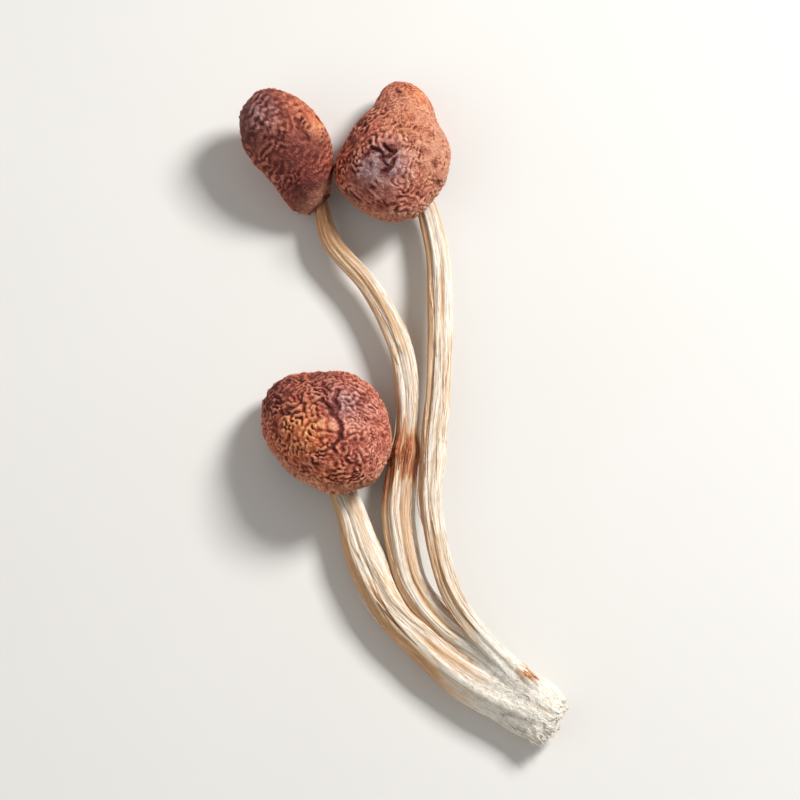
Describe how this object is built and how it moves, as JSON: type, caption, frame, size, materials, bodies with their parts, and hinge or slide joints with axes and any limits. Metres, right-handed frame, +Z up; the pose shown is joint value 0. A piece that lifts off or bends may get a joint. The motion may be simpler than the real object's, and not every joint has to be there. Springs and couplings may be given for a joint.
{
  "type": "dried mushroom clump",
  "caption": "Dried pioppino mushrooms grown from one torn base: long ribbed cream stems and wrinkled brown caps with gills, lying on their side.",
  "frame": {"origin": "middle of the clump's box, on the surface that it lies on", "axes": "+Z up from the surface, +Y from the torn base towards the caps, +X to the right seen from above with the caps away from the viewer"},
  "size_m": [0.061, 0.1312, 0.0179],
  "materials": {
    "stem": "dry matt fibres",
    "cap": "wrinkled satin skin",
    "gills": "dry matt blades"
  },
  "bodies": {
    "root": {"stems": "stem", "cap_left": "cap", "cap_middle": "cap", "cap_right": "cap", "gills_left": "gills", "gills_middle": "gills", "gills_right": "gills"}
  },
  "joints": []
}
